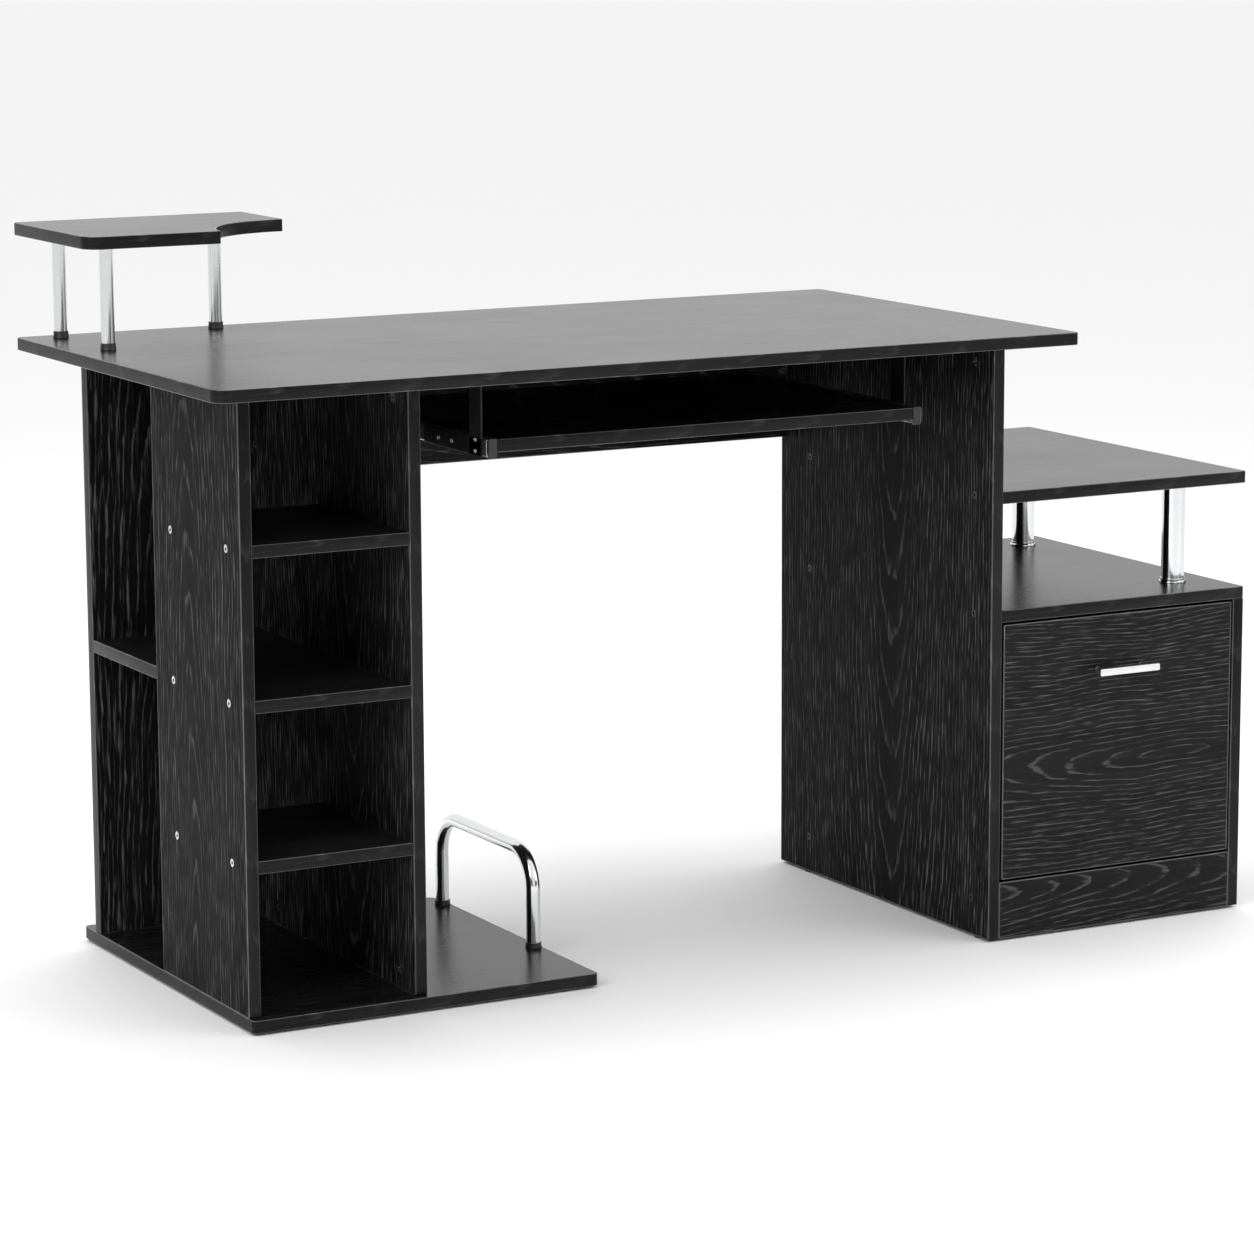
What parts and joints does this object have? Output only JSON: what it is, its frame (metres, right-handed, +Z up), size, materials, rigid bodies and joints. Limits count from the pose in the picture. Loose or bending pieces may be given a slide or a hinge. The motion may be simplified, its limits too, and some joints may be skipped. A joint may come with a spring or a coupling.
{
  "type": "computer desk",
  "caption": "Black wood-grain computer desk with a bookcase tower, raised screen shelf, sliding keyboard tray, computer guard bar, printer shelf and drawer cabinet.",
  "frame": {"origin": "on the floor under the middle of the footprint, where the glides rest", "axes": "+X to the right along the desk, +Y to the back, +Z up"},
  "size_m": [1.397, 0.603, 0.885],
  "materials": {
    "black_top": "satin",
    "black_shelf": "satin",
    "black_panel": "satin",
    "black_front": "satin",
    "hardboard": "matte",
    "drawer_box": "matte",
    "chrome": "polished",
    "black_plastic": "satin",
    "black_steel": "satin",
    "zinc": "satin",
    "nickel": "polished"
  },
  "bodies": {
    "frame": {"base_board": "black_top", "cabinet_back": "hardboard", "cabinet_bottom": "black_shelf", "cabinet_plinth": "black_front", "cabinet_right_panel": "black_panel", "cabinet_side_screws": "nickel", "cabinet_top": "black_top", "cam_bolts": "zinc", "cam_locks": "black_steel", "desktop": "black_top", "drawer_runner_left_fixed_member": "zinc", "drawer_runner_right_fixed_member": "zinc", "floor_glides": "black_plastic", "guard_bar": "chrome", "guard_bar_collars": "black_plastic", "leg_panel_screws": "black_steel", "printer_shelf": "black_top", "printer_shelf_post_flanges": "chrome", "printer_shelf_post_front": "chrome", "printer_shelf_post_rear": "chrome", "raised_shelf": "black_top", "raised_shelf_post_collars": "black_plastic", "raised_shelf_post_front_left": "chrome", "raised_shelf_post_rear_left": "chrome", "raised_shelf_post_right": "chrome", "rear_stretcher": "black_front", "right_leg_panel": "black_panel", "stretcher_screws": "nickel", "tower_back_panel": "black_panel", "tower_left_panel": "black_panel", "tower_left_screws": "nickel", "tower_low_shelf": "black_shelf", "tower_middle_shelf": "black_shelf", "tower_right_panel": "black_panel", "tower_right_screws": "nickel", "tower_top_shelf": "black_shelf", "tray_bracket_screws": "zinc", "tray_hanger_left": "black_steel", "tray_hanger_right": "black_steel", "tray_rear_bracket_left": "black_steel", "tray_rear_bracket_right": "black_steel", "tray_runner_left_fixed_member": "zinc", "tray_runner_right_fixed_member": "zinc"},
    "keyboard_tray": {"keyboard_tray": "black_top", "tray_runner_left_moving_member": "zinc", "tray_runner_right_moving_member": "zinc", "tray_runner_caps": "black_plastic"},
    "drawer": {"drawer_front": "black_front", "drawer_left_side": "drawer_box", "drawer_right_side": "drawer_box", "drawer_rear_wall": "drawer_box", "drawer_bottom": "hardboard", "drawer_handle": "chrome", "drawer_handle_feet": "black_plastic", "drawer_runner_left_moving_member": "zinc", "drawer_runner_right_moving_member": "zinc"},
    "tray_runner_left_middle": {"tray_runner_left_middle_member": "zinc"},
    "tray_runner_right_middle": {"tray_runner_right_middle_member": "zinc"},
    "drawer_runner_left_middle": {"drawer_runner_left_middle_member": "zinc"},
    "drawer_runner_right_middle": {"drawer_runner_right_middle_member": "zinc"}
  },
  "joints": [
    {"name": "keyboard_tray_slide", "type": "slide", "parent": "frame", "child": "keyboard_tray", "axis": [0, -1, 0], "range_m": [0, 0.28]},
    {"name": "drawer_slide", "type": "slide", "parent": "frame", "child": "drawer", "axis": [0, -1, 0], "range_m": [0, 0.32]},
    {"name": "tray_runner_left_middle_slide", "type": "slide", "parent": "frame", "child": "tray_runner_left_middle", "axis": [0, -1, 0], "range_m": [0, 0.14]},
    {"name": "tray_runner_right_middle_slide", "type": "slide", "parent": "frame", "child": "tray_runner_right_middle", "axis": [0, -1, 0], "range_m": [0, 0.14]},
    {"name": "drawer_runner_left_middle_slide", "type": "slide", "parent": "frame", "child": "drawer_runner_left_middle", "axis": [0, -1, 0], "range_m": [0, 0.16]},
    {"name": "drawer_runner_right_middle_slide", "type": "slide", "parent": "frame", "child": "drawer_runner_right_middle", "axis": [0, -1, 0], "range_m": [0, 0.16]}
  ],
  "couplings": [
    {"joint": "tray_runner_left_middle_slide", "follows": "keyboard_tray_slide", "ratio": 0.5},
    {"joint": "tray_runner_right_middle_slide", "follows": "keyboard_tray_slide", "ratio": 0.5},
    {"joint": "drawer_runner_left_middle_slide", "follows": "drawer_slide", "ratio": 0.5},
    {"joint": "drawer_runner_right_middle_slide", "follows": "drawer_slide", "ratio": 0.5}
  ]
}
